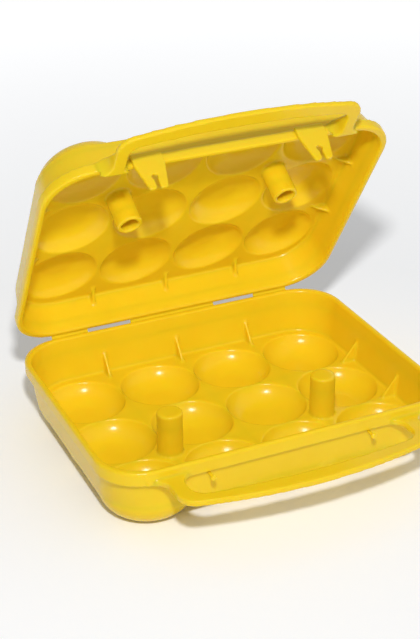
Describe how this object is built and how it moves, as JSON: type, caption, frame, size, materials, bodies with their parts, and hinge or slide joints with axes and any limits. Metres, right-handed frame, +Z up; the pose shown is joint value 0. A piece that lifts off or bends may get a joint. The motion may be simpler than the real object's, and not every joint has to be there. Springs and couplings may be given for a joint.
{
  "type": "egg carton",
  "caption": "Hinged plastic egg carrier: a cupped tray and a matching cupped lid on a folding hinge, with a split carrying handle and forked snap latches.",
  "frame": {"origin": "on the surface the carton stands on, under the middle of the tray's rim", "axes": "+Z up, +Y towards the hinge at the back, so the handle is at -Y, and +X along the hinge to the right when seen from the handle"},
  "size_m": [0.207, 0.2133, 0.2053],
  "materials": {
    "yellow_plastic": "smooth semi-gloss moulded polypropylene"
  },
  "bodies": {
    "tray": {"base_back_gussets": "yellow_plastic", "base_cup_far_left_back": "yellow_plastic", "base_cup_far_left_front": "yellow_plastic", "base_cup_far_left_middle": "yellow_plastic", "base_cup_far_right_back": "yellow_plastic", "base_cup_far_right_front": "yellow_plastic", "base_cup_far_right_middle": "yellow_plastic", "base_cup_mid_left_back": "yellow_plastic", "base_cup_mid_left_front": "yellow_plastic", "base_cup_mid_left_middle": "yellow_plastic", "base_cup_mid_right_back": "yellow_plastic", "base_cup_mid_right_front": "yellow_plastic", "base_cup_mid_right_middle": "yellow_plastic", "base_front_gussets": "yellow_plastic", "base_handle": "yellow_plastic", "base_hinge_webs": "yellow_plastic", "base_post_left": "yellow_plastic", "base_post_right": "yellow_plastic", "base_rim": "yellow_plastic", "base_side_gussets": "yellow_plastic", "base_walls": "yellow_plastic", "latch_pin_left": "yellow_plastic", "latch_pin_right": "yellow_plastic"},
    "lid": {"latch_fork_left": "yellow_plastic", "latch_fork_right": "yellow_plastic", "lid_back_gussets": "yellow_plastic", "lid_cup_far_left_back": "yellow_plastic", "lid_cup_far_left_front": "yellow_plastic", "lid_cup_far_left_middle": "yellow_plastic", "lid_cup_far_right_back": "yellow_plastic", "lid_cup_far_right_front": "yellow_plastic", "lid_cup_far_right_middle": "yellow_plastic", "lid_cup_mid_left_back": "yellow_plastic", "lid_cup_mid_left_front": "yellow_plastic", "lid_cup_mid_left_middle": "yellow_plastic", "lid_cup_mid_right_back": "yellow_plastic", "lid_cup_mid_right_front": "yellow_plastic", "lid_cup_mid_right_middle": "yellow_plastic", "lid_front_gussets": "yellow_plastic", "lid_handle": "yellow_plastic", "lid_hinge_webs": "yellow_plastic", "lid_post_left": "yellow_plastic", "lid_post_right": "yellow_plastic", "lid_rim": "yellow_plastic", "lid_side_gussets": "yellow_plastic", "lid_walls": "yellow_plastic"}
  },
  "joints": [
    {"name": "lid_hinge", "type": "hinge", "parent": "tray", "child": "lid", "pos_m": [0, 0.082, 0.04], "axis": [-1, 0, 0], "range_deg": [-57.3, 122.7]}
  ]
}
